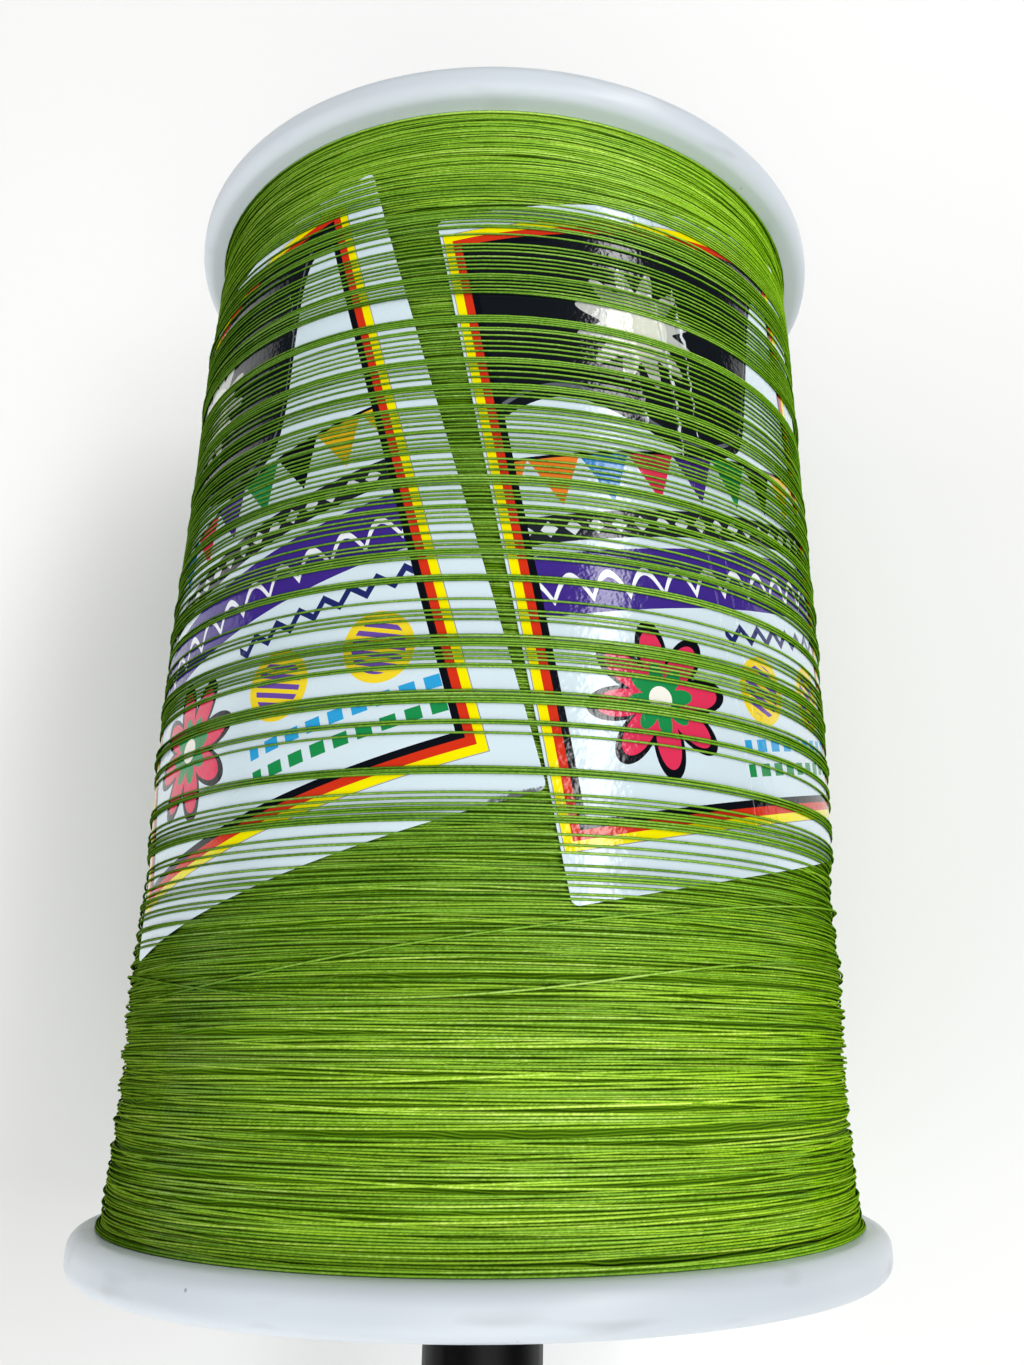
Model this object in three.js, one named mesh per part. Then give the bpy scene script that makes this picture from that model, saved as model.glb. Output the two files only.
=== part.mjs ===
// A hand reel of kite string, lying on its side.
//
// Two white plastic flanges with rounded rims hold one thick winding of cotton kite thread
// between them. Two laminated picture labels lie on the winding, tucked under its last turns.
// A plain black handle stands out of the near flange, on the reel's axis.
//
// Frame: millimetres, +Z up. The reel's axis is level and runs along +Y, with the handle
// towards -Y. The reel rests on a small flat spot on the rim of each flange, at Z = 0. The
// origin is on that surface, under the middle of the whole length, handle included.

import * as THREE from 'three';

// ---- Driving dimensions -------------------------------------------------------------------

const GAP = 0.3; // clearance between two pieces that touch on the real reel

const FLANGE_RADIUS = 87.5;
const FLANGE_THICKNESS = 8.5;
const RIM_FILLET = 3; // radius of the rounding on both edges of a rim

const WINDING_LENGTH = 239; // between the inner faces of the flanges
const WINDING_RADIUS = 81.4; // mean radius of the outermost turns

const LABEL_WIDTH = 102; // a picture card of 4 by 6 inches
const LABEL_LENGTH = 152;
const LABEL_THICKNESS = 0.6;
const LABEL_STANDOFF = 0.55; // keeps the label's facets a full gap above the winding's facets

const HANDLE_LENGTH = 105; // a full hand's grip
const HANDLE_RADIUS = 13.2; // where it meets the flange
const HANDLE_TIP_RADIUS = 12.4;
const HANDLE_FILLET = 3; // rounding of the free end

// ---- Fineness of the faceted surfaces -----------------------------------------------------

const ROUND_STEPS = 96; // facets around the flanges and the winding
const HANDLE_STEPS = 32;
const FILLET_STEPS = 3;
const WINDING_STEPS = 20; // rings of facets along the winding
const LABEL_STEPS = { across: 16, along: 12 };

// ---- Places along the axis ----------------------------------------------------------------

const REEL_LENGTH = WINDING_LENGTH + 2 * FLANGE_THICKNESS;
const OVERALL_LENGTH = REEL_LENGTH + GAP + HANDLE_LENGTH;

const HANDLE_TIP_Y = -OVERALL_LENGTH / 2;
const NEAR_FACE_Y = HANDLE_TIP_Y + HANDLE_LENGTH + GAP; // outer face of the near flange
const WINDING_NEAR_Y = NEAR_FACE_Y + FLANGE_THICKNESS;
const FAR_FLANGE_Y = WINDING_NEAR_Y + WINDING_LENGTH;

// Each rim is flat across the two facets on either side of its lowest point.
const AXIS_HEIGHT = FLANGE_RADIUS * Math.cos((2 * Math.PI) / ROUND_STEPS);

// ---- Form of the winding ------------------------------------------------------------------

// Radius of the winding at a few places: how far along it, as a share of its length from the
// near flange, and how far the turns there stand above or below the mean radius.
const WINDING_SECTIONS = [
  { along: 0.0, rise: 0.5 },
  { along: 0.1, rise: 0.1 },
  { along: 0.2, rise: 0.45 },
  { along: 0.28, rise: -0.45 },
  { along: 0.38, rise: 0.2 },
  { along: 0.5, rise: 0.3 },
  { along: 0.7, rise: -0.05 },
  { along: 0.86, rise: 0.1 },
  { along: 1.0, rise: -0.9 },
];

// The turns lie unevenly around the reel as well. Each swell is a sine wave with a height, a
// number of waves around the reel and along its length, and the angle at which it starts.
const WINDING_SWELLS = [
  { height: 0.16, wavesAround: 2, wavesAlong: 1.5, start: 0.7 },
  { height: 0.1, wavesAround: 3, wavesAlong: -2.5, start: 2.1 },
];

/** Height of the winding's surface over its mean radius, smooth between the sections. */
function sectionRise(along) {
  const next = Math.max(1, WINDING_SECTIONS.findIndex((section) => section.along >= along));
  const from = WINDING_SECTIONS[next - 1];
  const to = WINDING_SECTIONS[next];
  const share = THREE.MathUtils.smoothstep(along, from.along, to.along);
  return THREE.MathUtils.lerp(from.rise, to.rise, share);
}

/** Radius of the winding at an angle about the axis, and a share of its length. */
function windingRadius(angle, along) {
  let radius = WINDING_RADIUS + sectionRise(along);
  for (const { height, wavesAround, wavesAlong, start } of WINDING_SWELLS) {
    radius += height * Math.sin(wavesAround * angle + 2 * Math.PI * wavesAlong * along + start);
  }
  return radius;
}

/** Point at an angle from the top of the reel, a radius from its axis and a place along Y. */
function aroundAxis(angle, radius, y) {
  return new THREE.Vector3(radius * Math.sin(angle), y, AXIS_HEIGHT + radius * Math.cos(angle));
}

// ---- Places of the labels -----------------------------------------------------------------

// Each label is placed by its corner nearest to the near flange: the arc from the top of the
// reel to that corner, its distance from the near flange's outer face, and the label's turn.
// The label spreads from the corner to the side that `side` gives.
const LABELS = [
  { name: 'label_left', side: -1, arc: 9.5, fromNearFace: 87.3, turn: 16.2 },
  { name: 'label_right', side: 1, arc: 14.2, fromNearFace: 66.2, turn: 11.5 },
];

// ---- Materials ----------------------------------------------------------------------------

const whitePlastic = () =>
  new THREE.MeshStandardMaterial({ color: '#dfe6ec', roughness: 0.35, metalness: 0 });
const greenThread = () =>
  new THREE.MeshStandardMaterial({ color: '#6f9e1e', roughness: 0.6, metalness: 0 });
const laminatedCard = () =>
  new THREE.MeshStandardMaterial({ color: '#e9eef4', roughness: 0.15, metalness: 0 });
const blackPlastic = () =>
  new THREE.MeshStandardMaterial({ color: '#141414', roughness: 0.5, metalness: 0 });

// ---- Pieces -------------------------------------------------------------------------------

/** Names a mesh and gives it its own material. */
function piece(name, geometry, material) {
  const mesh = new THREE.Mesh(geometry, material);
  mesh.name = name;
  return mesh;
}

/** Quarter-round outline points about a centre, from one angle to another. */
function filletPoints(radius, y, fillet, fromAngle, toAngle) {
  return Array.from({ length: FILLET_STEPS + 1 }, (_, step) => {
    const angle = THREE.MathUtils.lerp(fromAngle, toAngle, step / FILLET_STEPS);
    return new THREE.Vector2(radius + fillet * Math.cos(angle), y + fillet * Math.sin(angle));
  });
}

/** One flange: a disc with rounded rim edges and a flat spot under its lowest point. */
function flange(name, startY) {
  const shoulder = FLANGE_RADIUS - RIM_FILLET;
  const profile = [
    new THREE.Vector2(0, 0),
    ...filletPoints(shoulder, RIM_FILLET, RIM_FILLET, -Math.PI / 2, 0),
    ...filletPoints(shoulder, FLANGE_THICKNESS - RIM_FILLET, RIM_FILLET, 0, Math.PI / 2),
    new THREE.Vector2(0, FLANGE_THICKNESS),
  ];
  const geometry = new THREE.LatheGeometry(profile, ROUND_STEPS);
  const position = geometry.attributes.position;
  for (let i = 0; i < position.count; i += 1) {
    position.setZ(i, Math.max(position.getZ(i), -AXIS_HEIGHT));
  }
  const mesh = piece(name, geometry, whitePlastic());
  mesh.position.set(0, startY, AXIS_HEIGHT);
  return mesh;
}

/** The whole winding as one solid, with the swells that its turns were laid in. */
function winding() {
  const length = WINDING_LENGTH - 2 * GAP;
  const profile = [new THREE.Vector2(0, 0)];
  for (let step = 0; step <= WINDING_STEPS; step += 1) {
    profile.push(new THREE.Vector2(1, (length * step) / WINDING_STEPS));
  }
  profile.push(new THREE.Vector2(0, length));
  const geometry = new THREE.LatheGeometry(profile, ROUND_STEPS);
  const position = geometry.attributes.position;
  for (let i = 0; i < position.count; i += 1) {
    const x = position.getX(i);
    const y = position.getY(i);
    const z = position.getZ(i);
    const angle = Math.atan2(x, z);
    const radius = Math.hypot(x, z) * windingRadius(angle, y / length);
    position.setXYZ(i, radius * Math.sin(angle), y, radius * Math.cos(angle));
  }
  const mesh = piece('winding', geometry, greenThread());
  mesh.position.set(0, WINDING_NEAR_Y + GAP, AXIS_HEIGHT);
  return mesh;
}

/** One label: a flat card that is turned on the winding's surface and wrapped around it. */
function label({ name, side, arc, fromNearFace, turn }) {
  const geometry = new THREE.BoxGeometry(
    LABEL_WIDTH, LABEL_LENGTH, LABEL_THICKNESS, LABEL_STEPS.across, LABEL_STEPS.along, 1,
  );
  geometry.translate((side * LABEL_WIDTH) / 2, LABEL_LENGTH / 2, LABEL_THICKNESS / 2);
  geometry.rotateZ(THREE.MathUtils.degToRad(turn));
  geometry.translate(arc, NEAR_FACE_Y + fromNearFace, 0);

  const position = geometry.attributes.position;
  for (let i = 0; i < position.count; i += 1) {
    const angle = position.getX(i) / WINDING_RADIUS;
    const y = position.getY(i);
    const along = (y - WINDING_NEAR_Y) / WINDING_LENGTH;
    const radius = windingRadius(angle, along) + LABEL_STANDOFF + position.getZ(i);
    const point = aroundAxis(angle, radius, y);
    position.setXYZ(i, point.x, point.y, point.z);
  }
  return piece(name, geometry, laminatedCard());
}

/** The handle: a slightly tapered round grip with a rounded free end. */
function handle() {
  const profile = [
    new THREE.Vector2(0, 0),
    ...filletPoints(HANDLE_TIP_RADIUS - HANDLE_FILLET, HANDLE_FILLET, HANDLE_FILLET,
      -Math.PI / 2, 0),
    new THREE.Vector2(HANDLE_RADIUS, HANDLE_LENGTH),
    new THREE.Vector2(0, HANDLE_LENGTH),
  ];
  const mesh = piece('handle', new THREE.LatheGeometry(profile, HANDLE_STEPS), blackPlastic());
  mesh.position.set(0, HANDLE_TIP_Y, AXIS_HEIGHT);
  return mesh;
}

// ---- The reel -----------------------------------------------------------------------------

const group = new THREE.Group();
group.add(
  flange('flange_near', NEAR_FACE_Y),
  flange('flange_far', FAR_FLANGE_Y),
  winding(),
  ...LABELS.map(label),
  handle(),
);

export default group;
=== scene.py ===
"""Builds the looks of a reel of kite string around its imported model.

Two satin white flanges hold a thick winding of green cotton kite thread. Two laminated
picture labels lie on the winding, and the last turns of thread pass over them. Lengths are
millimetres until a mesh is made, and angles are radians from the top of the reel towards +X.
"""

import functools
import math

import bpy
import numpy as np
from bpy.props import FloatProperty, FloatVectorProperty, IntProperty, PointerProperty
from mathutils import Matrix, Vector


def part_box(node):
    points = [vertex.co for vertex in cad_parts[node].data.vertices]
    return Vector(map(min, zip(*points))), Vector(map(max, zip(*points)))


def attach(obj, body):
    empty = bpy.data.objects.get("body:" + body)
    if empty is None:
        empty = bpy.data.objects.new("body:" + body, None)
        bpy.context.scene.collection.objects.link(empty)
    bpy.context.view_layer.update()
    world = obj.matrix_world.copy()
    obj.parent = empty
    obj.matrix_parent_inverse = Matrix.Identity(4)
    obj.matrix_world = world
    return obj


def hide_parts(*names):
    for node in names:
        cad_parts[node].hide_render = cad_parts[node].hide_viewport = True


bl_info = {
    "name": "Kite String Reel",
    "version": (1, 0, 0),
    "blender": (4, 5, 0),
    "location": "View3D > Sidebar > Reel",
    "description": "Builds the winding, labels, flanges and handle of a reel of kite string",
    "category": "Add Mesh",
}

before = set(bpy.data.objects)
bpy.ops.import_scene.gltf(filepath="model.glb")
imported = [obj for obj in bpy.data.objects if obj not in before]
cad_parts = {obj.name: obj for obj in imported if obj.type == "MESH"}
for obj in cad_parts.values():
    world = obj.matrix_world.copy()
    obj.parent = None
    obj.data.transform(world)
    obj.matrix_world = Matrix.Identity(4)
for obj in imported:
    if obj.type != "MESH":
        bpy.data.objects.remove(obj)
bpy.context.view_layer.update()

# ---- Sizes, in millimetres ------------------------------------------------------------------

MM = 0.001  # a millimetre in Blender's metres
NEAR_FLANGE, FAR_FLANGE, GRIP = (
    np.array(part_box(node)) / MM for node in ("flange_near", "flange_far", "handle")
)

AXIS_HEIGHT = GRIP[:, 2].mean()
FLANGE_RADIUS = NEAR_FLANGE[1, 0]
FLANGE_THICKNESS = NEAR_FLANGE[1, 1] - NEAR_FLANGE[0, 1]
RIM_FILLET = 3.2
HANDLE_RADIUS = GRIP[1, 0]
HANDLE_TIP_RADIUS = 12.4
HANDLE_FILLET = 3.0

WINDING_Y = NEAR_FLANGE[1, 1]  # inner face of the near flange
WINDING_LENGTH = FAR_FLANGE[0, 1] - WINDING_Y
WINDING_RADIUS = 81.4

# How far the turns stand over the mean radius, at shares of the winding's length.
WINDING_SECTIONS = np.array(
    [
        # along, rise
        (0.0, 0.5), (0.1, 0.1), (0.2, 0.45), (0.28, -0.45), (0.38, 0.2),
        (0.5, 0.3), (0.7, -0.05), (0.86, 0.1), (1.0, -0.9),
    ]
)
WINDING_SWELLS = (
    # height, waves around, waves along, start
    (0.16, 2, 1.5, 0.7),
    (0.1, 3, -2.5, 2.1),
)
END_GAP = 0.3  # between a flange and the middle of the thread nearest to it

# The turns that went on before the labels: a guide led them from end to end and back.
BODY_PASSES = 18
PASS_TURNS = (24, 38)  # fewest turns in a pass, and one more than the most
DWELL = 0.025  # share of each pass that the thread stays at each end
GUIDE_WAVES = (
    # how much faster and slower the guide went, fewest and most waves of that in a pass
    (0.4, 2, 6),
    (0.3, 9, 16),
)
SLOWEST = 0.1  # the guide's least speed, as a share of its mean

# The turns that went on after the labels: each row holds from its place along the winding to
# the next row's.
LAST_TURNS = np.array(
    [
        # place, turns per mm, share of them that lie close to the one before
        (0, 0.65, 0.3), (60, 1.1, 0.5), (64.5, 0.65, 0.5), (71.5, 0.4, 0.5), (73, 1.4, 0.6),
        (77, 0.12, 0.5), (80.5, 1.6, 0.7), (82, 0.36, 0.5), (88.5, 0.9, 0.45), (98, 0.15, 0.5),
        (101.5, 1.4, 0.6), (106.5, 0.5, 0.4), (110.5, 1.3, 0.6), (113.5, 0.45, 0.5),
        (119, 1.1, 0.6), (121.5, 0.05, 0.3), (124, 1.4, 0.6), (128.5, 0.5, 0.3),
        (131.5, 0.85, 0.5), (134.5, 1.1, 0.5), (145, 0.8, 0.5), (148.5, 1.2, 0.5),
        (157.5, 0.95, 0.5), (169.5, 1.0, 0.5), (175.5, 0.8, 0.5), (179.5, 1.2, 0.6),
        (182.5, 0.3, 0.5), (186, 0.9, 0.5), (188.5, 1.15, 0.5), (198.5, 0.5, 0.6),
        (201, 0.9, 0.5), (209.5, 0.5, 0.5), (214, 1.7, 0.5),
    ]
)
LAST_SWEEPS = (
    # start, end, share of the turns above
    (0.3, 238.7, 0.2),
    (238.7, 0.3, 0.8),
)
LAST_PAINTED_SHADE = (0.74, 0.82, 0.85)  # painted shade: their colour, as a factor of the other turns', though it is the same thread
TIGHT_BUNCHES = 0.45  # share of the bunches whose turns touch; the others' turns stay apart
TIGHT_SPACING = 0.5  # millimetres from one turn to the next
LOOSE_SPACING = (0.72, 1.15)
MOST_IN_BUNCH = 6
BUNCH_DRIFT = 0.3  # share of the free room that a bunch may move by, either way
SWEEP_SAMPLES = 2000  # places along a sweep at which its turns are counted off
# The very last turns, led quickly aslant over the others.
FINAL_TURNS = np.array(
    [
        # turns from under the reel, place
        (0, 0.3), (0.7, 1.2), (1, 24), (1.2, 47), (1.3, 49.5), (1.36, 45.8), (1.4, 43.2),
        (1.43, 41.8), (1.49, 41.8), (1.53, 44), (1.56, 47.2), (1.59, 49.5), (1.65, 51),
        (1.8, 49), (2.1, 42), (2.34, 42.3), (2.39, 44.2), (2.42, 47.2), (2.47, 51),
        (2.55, 57), (2.6, 59.8), (2.65, 62.5), (2.75, 65), (3, 66),
    ]
)

# How a turn comes to rest: it slides to a lower place, by at most so much to either side.
BODY_SLIDE = 0.7
LAST_SLIDE = 0.2
SLIDE_TRIES = 7  # places that it tries
SLIDE_COST = 0.25  # how much higher it rather rests than slide as far as it may
BRIDGES = (4, 2, 1)  # samples to either side that a taut turn passes straight over
LAST_HEAP = 1.1  # thicknesses over the ground that the last turns may heap up to
FINAL_RISE = 0.5  # thicknesses by which the final turns stand proud of what they cross

FLANK_SHADE = (0.22, 0.3, 0.15)  # painted shade on a turn's flanks, as a factor of its outermost line's colour
# Shares of the way round a turn from its outermost line, between which that painted shade sets in.
BODY_FLANK = (0.05, 0.26)
LAST_FLANK = (0.05, 0.21)
THREAD_GLEAM = (0.85, 1.0, 0.55)  # light comes back through the dyed fibres as green

# The uneven dye, from its darkest slubs to the bright specks of its plies: a factor of the
# thread's colour.
DYE = (
    (0.0, (0.5, 0.6, 0.4)),
    (0.45, (0.95, 0.97, 0.9)),
    (0.75, (1.15, 1.08, 1.5)),
    (1.0, (1.7, 1.35, 4.0)),
)
# A factor of the thread's colour at shares of the winding's length: darker between the ends.
TONE_ALONG = (
    (0.0, (1.0, 1.0, 1.0)),
    (0.12, (1.0, 1.0, 1.0)),
    (0.2, (0.8, 0.84, 0.9)),
    (0.31, (0.65, 0.73, 0.9)),
    (0.86, (0.65, 0.73, 0.9)),
    (0.93, (1.07, 1.07, 1.0)),
    (1.0, (1.07, 1.07, 1.0)),
)
# Painted shade across the reel, from its left side to its right, as a factor of the thread's
# colour.
PAINTED_SIDE_SHADE = (
    (0.0, (0.28, 0.28, 0.3)),
    (0.12, (0.42, 0.42, 0.6)),
    (0.25, (0.6, 0.63, 0.66)),
    (0.42, (0.78, 0.79, 0.85)),
    (0.65, (1.03, 1.0, 1.2)),
    (0.8, (1.0, 1.0, 0.8)),
    (0.9, (0.75, 0.8, 0.45)),
    (1.0, (0.52, 0.57, 0.3)),
)
POLISH = 0.45  # strength of the gloss along the top of the reel
POLISH_WORN = (0.4, 0.75)  # shares of the radius, to either side, between which it fades out

LABEL_WIDTH = 102.0
LABEL_LENGTH = 152.0
LABEL_CORNER = 1.6
LABELS = {
    # node: side, arc and distance from the near face of the inner near corner, turn in degrees
    "label_left": (-1, 9.5, 87.3, 16.2),
    "label_right": (1, 14.2, 66.2, 11.5),
}
# Sharp creases along a label: distance from its left edge, lowest and highest place, height.
CREASES = {
    "label_left": ((74.0, 96.0, 142.0, 0.1),),
    "label_right": (
        (38.0, 84.0, 140.0, 0.14),
        (45.5, 82.0, 139.0, 0.26),
        (51.0, 88.0, 137.0, 0.24),
    ),
}
CREASE_WIDTH = 0.45
CREASE_FADE = 14.0  # length of each of its ends, where it fades
FULL_CREASE = 0.25  # height of one whose crack and painted glint are at full strength
BORDER_BOX = (0.7, 93.4, 9.6, 147.6)  # left, right, near and far side of the printed border
BED_SPAN = 25  # samples along the reel, to either side, that the stiff card bridges
BED_BEND = 40  # samples to either side within which it bends
BED_GAP = 0.1  # between the smooth bed and the card on it
TURN_GAP = 0.02  # between the card and a turn over it

# ---- Fineness -------------------------------------------------------------------------------

AROUND = 96  # samples of each turn, and of the ground that it lies on
GROUND_STEP = 0.1  # millimetres along the winding
THREAD_SIDES = 5
OUTERMOST = THREAD_SIDES // 2 / THREAD_SIDES  # share of the way round of its outermost line
PIECE_TURNS = 195  # turns of thread in one piece
TURNED_STEPS = 192
CORE_RINGS = 61
LABEL_STEP = 0.9  # millimetres along a label
LABEL_COLUMN = 1.2  # millimetres across it
CREASE_COLUMN = 0.35  # and where a crease runs

ANGLES = math.pi + math.tau * np.arange(AROUND) / AROUND  # a turn starts under the reel
RING = math.pi + math.tau * np.arange(TURNED_STEPS) / TURNED_STEPS
GROUND_Y = np.arange(0, WINDING_LENGTH + GROUND_STEP / 2, GROUND_STEP)


def linear(colour):
    """The linear RGBA of an sRGB hex colour such as "8fc31f"."""
    srgb = np.array([int(colour[i : i + 2], 16) for i in (0, 2, 4)]) / 255
    rgb = np.where(srgb <= 0.04045, srgb / 12.92, ((srgb + 0.055) / 1.055) ** 2.4)
    return (*rgb, 1.0)


def tinted(colour, factor):
    """An RGBA colour with its red, green and blue each multiplied by its own factor."""
    return (*(np.array(colour[:3]) * factor), 1.0)


BLACK_INK = linear("0e1118")


# ---- Form of the winding --------------------------------------------------------------------


def smoothstep(share):
    """Rises smoothly from 0 to 1: 3 s^2 - 2 s^3 of the clipped share."""
    share = np.clip(share, 0, 1)
    return share * share * (3 - 2 * share)


def winding_radius(angle, along):
    """Mean radius plus the smooth rise between sections plus the sine waves of the swells."""
    places, rises = WINDING_SECTIONS.T
    after = np.clip(np.searchsorted(places, along), 1, len(places) - 1)
    share = (along - places[after - 1]) / (places[after] - places[after - 1])
    rise = rises[after - 1] + smoothstep(share) * (rises[after] - rises[after - 1])
    radius = WINDING_RADIUS + rise
    for height, waves_around, waves_along, start in WINDING_SWELLS:
        radius = radius + height * np.sin(
            waves_around * angle + math.tau * waves_along * along + start
        )
    return radius


def on_reel(angle, radius, y):
    """Points at an angle from the top, a distance from the axis and a place along Y."""
    return np.stack(
        np.broadcast_arrays(radius * np.sin(angle), y, AXIS_HEIGHT + radius * np.cos(angle)), -1
    )


def windows(values, reach, axis, wrap):
    """Each value with its neighbours up to reach places away, wrapped round or repeated."""
    pad = [(reach, reach) if i == axis else (0, 0) for i in range(values.ndim)]
    padded = np.pad(values, pad, mode="wrap" if wrap else "edge")
    return np.lib.stride_tricks.sliding_window_view(padded, 2 * reach + 1, axis=axis)


def blur(values, reach, axis=0, wrap=False):
    """Mean of each value and its neighbours up to reach places away, taken twice."""
    for _ in range(2):
        values = windows(values, reach, axis, wrap).mean(axis=-1)
    return values


def highest(values, reach, axis=0, wrap=False):
    """Highest of each value and its neighbours up to reach places away."""
    return windows(values, reach, axis, wrap).max(axis=-1)


def sampled(ground, angle, y):
    """Height of the ground at any place, by the shares of the four samples around it."""
    row = ((angle - ANGLES[0]) / math.tau * AROUND) % AROUND
    column = np.clip(y / GROUND_STEP, 0, len(GROUND_Y) - 1.001)
    near_row, near_column = row.astype(int) % AROUND, column.astype(int)
    far_row, far_column = (near_row + 1) % AROUND, near_column + 1
    row_share, column_share = row % 1, column % 1
    near = ground[near_row, near_column] * (1 - column_share)
    near += ground[near_row, far_column] * column_share
    far = ground[far_row, near_column] * (1 - column_share)
    far += ground[far_row, far_column] * column_share
    return near * (1 - row_share) + far * row_share


# ---- Laying the turns -----------------------------------------------------------------------


def pulled_straight(radius):
    """A taut turn passes straight over hollows: it is at least as high as its own chords.

    A chord between two places that lie an angle k to either side, at radii a and b, passes at
    the distance 2 a b cos(k) / (a + b) from the axis.
    """
    for reach in BRIDGES:
        before, after = np.roll(radius, reach), np.roll(radius, -reach)
        chord = 2 * before * after * math.cos(math.tau * reach / AROUND) / (before + after)
        radius = np.maximum(radius, chord)
    return radius


def lay(ground, places, thickness, slide, level):
    """Lays turns one after another on the ground, and raises the ground under each.

    A round thread rests at the highest sum of the ground and the thread's own half-round over
    it. Each turn first slides sideways, by at most `slide`, to where it rests lowest, and one
    that would stand over the level is pressed down to a third of that. places holds a row for
    each turn. Returns the places and the radii of the thread's centre line.
    """
    half = thickness / 2
    reach = int(half / GROUND_STEP - 0.01)
    across = np.arange(-reach, reach + 1)
    arc = np.sqrt(half**2 - (across * GROUND_STEP) ** 2)
    last = len(GROUND_Y) - 1 - reach
    rows = np.arange(AROUND)[:, None]
    tries = np.linspace(-slide, slide, SLIDE_TRIES)[:, None]
    laid, radii = np.empty_like(places), np.empty_like(places)
    for turn, place in enumerate(places):
        spots = np.clip(np.rint((place + tries) / GROUND_STEP).astype(int), reach, last)
        rests = (ground[rows, spots[..., None] + across] + arc).max(axis=-1)
        choice = (rests + SLIDE_COST * (tries / slide) ** 2).argmin(axis=0)
        place = place + blur(tries[choice, 0], 2, 0, True)
        place = np.clip(place, half, WINDING_LENGTH - half)
        spot = np.clip(np.rint(place / GROUND_STEP).astype(int), reach, last)
        over = spot[:, None] + across
        radius = pulled_straight((ground[rows, over] + arc).max(axis=-1))
        top = level[rows[:, 0], spot]
        radius = np.minimum(radius, top + (radius - top) / 3)
        ground[rows, over] = np.maximum(ground[rows, over], radius[:, None] + arc)
        laid[turn], radii[turn] = place, radius
    return laid, radii


def steady_guide(turns, start, end, rng):
    """Places of a thread that a guide leads from start to end, a little faster and slower.

    The speed is 1 plus two sine waves of a random length and start, and never falls under
    SLOWEST. The place is the running sum of the speed, stretched to reach from start to end and
    to wait at both.
    """
    share = np.arange(turns * AROUND) / (turns * AROUND)
    speed = np.ones_like(share)
    for height, fewest, most in GUIDE_WAVES:
        waves, offset = rng.uniform(fewest, most), rng.uniform(0, math.tau)
        speed += height * np.sin(math.tau * waves * share + offset)
    way = np.cumsum(np.maximum(speed, SLOWEST))
    way = np.clip((1 + 2 * DWELL) * way / way[-1] - DWELL, 0, 1)
    return start + (end - start) * way


def bunching_guide(start, end, amount, rng):
    """Places of a thread that was led by hand, so that its turns bunch and leave gaps.

    The turns are counted off by the running sum of their density along the way. Each bunch is
    a random number of turns side by side, about the middle of its share of the count, moved at
    random by up to BUNCH_DRIFT of the free room. Each turn has its place at the top of the
    reel, and goes smoothly on to the next one's under the reel.
    """
    table, density, share = LAST_TURNS.T
    along = np.linspace(start, end, SWEEP_SAMPLES)
    row = np.searchsorted(table, along, side="right") - 1
    per_mm, closeness = amount * density[row], share[row]
    count = np.cumsum(per_mm) * abs(end - start) / len(along)
    way = math.copysign(1, end - start)
    places, number = [start], 0
    while number < count[-1]:
        close = np.interp(number, count, closeness)
        bunch = min(rng.geometric(1 - close), MOST_IN_BUNCH)
        middle = np.interp(number + bunch / 2, count, along)
        tight = rng.random() < TIGHT_BUNCHES
        spacing = TIGHT_SPACING if tight else rng.uniform(*LOOSE_SPACING)
        room = bunch / np.interp(number + bunch / 2, count, per_mm) - bunch * spacing
        middle += BUNCH_DRIFT * max(room, 0) * rng.uniform(-1, 1)
        places.extend(middle + way * spacing * (np.arange(bunch) - (bunch - 1) / 2))
        number += bunch
    knots = np.clip([*places, end, end], END_GAP, WINDING_LENGTH - END_GAP)
    turns = np.arange((len(knots) - 1) * AROUND) / AROUND
    before = np.maximum(turns - 0.5, 0).astype(int)
    step = knots[before + 1] - knots[before]
    return blur(knots[before] + step * smoothstep(turns - 0.5 - before), 3)


@functools.lru_cache(maxsize=None)
def body_turns(thickness, depth, seed):
    """The turns under the labels, and the ground that they leave: crossing passes on a core."""
    rng = np.random.default_rng(seed)
    level = winding_radius(ANGLES[:, None], GROUND_Y / WINDING_LENGTH)
    ground = level - depth
    path = []
    for number, turns in enumerate(rng.integers(*PASS_TURNS, BODY_PASSES)):
        start, end = (END_GAP, WINDING_LENGTH - END_GAP)[:: 1 if number % 2 else -1]
        path.append(steady_guide(turns, start, end, rng))
    path = np.concatenate(path).reshape(-1, AROUND)
    places, radii = lay(ground, path, thickness, BODY_SLIDE, level - thickness)
    return places, radii, ground


@functools.lru_cache(maxsize=None)
def label_bed(thickness, depth, seed):
    """The smooth surface that a stiff card takes over the turns: their envelope, blurred.

    The envelope is the highest ground within BED_SPAN samples along the reel and one around it.
    """
    ground = body_turns(thickness, depth, seed)[2]
    envelope = highest(highest(ground, BED_SPAN, 1), 1, 0, True)
    return blur(blur(envelope, BED_BEND, 1), 2, 0, True) + BED_GAP


def on_label(node, angle, y):
    """Place on a label's card, from its left and near edges, over a place on the winding.

    The card is turned about its inner near corner, and its arcs are wrapped on the winding.
    """
    side, arc, from_near_face, turn = LABELS[node]
    turn = math.radians(turn)
    ds = ((angle + math.pi) % math.tau - math.pi) * WINDING_RADIUS - arc
    dy = y - (from_near_face - FLANGE_THICKNESS)
    across = ds * math.cos(turn) + dy * math.sin(turn)
    along = dy * math.cos(turn) - ds * math.sin(turn)
    return across + (LABEL_WIDTH if side < 0 else 0), along


def under_label(node, across, along):
    """Angle and place along the winding of a place on a label's card, as on_label's reverse."""
    side, arc, from_near_face, turn = LABELS[node]
    turn = math.radians(turn)
    across = across - (LABEL_WIDTH if side < 0 else 0)
    ds = across * math.cos(turn) - along * math.sin(turn)
    dy = across * math.sin(turn) + along * math.cos(turn)
    return (arc + ds) / WINDING_RADIUS, from_near_face - FLANGE_THICKNESS + dy


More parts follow.
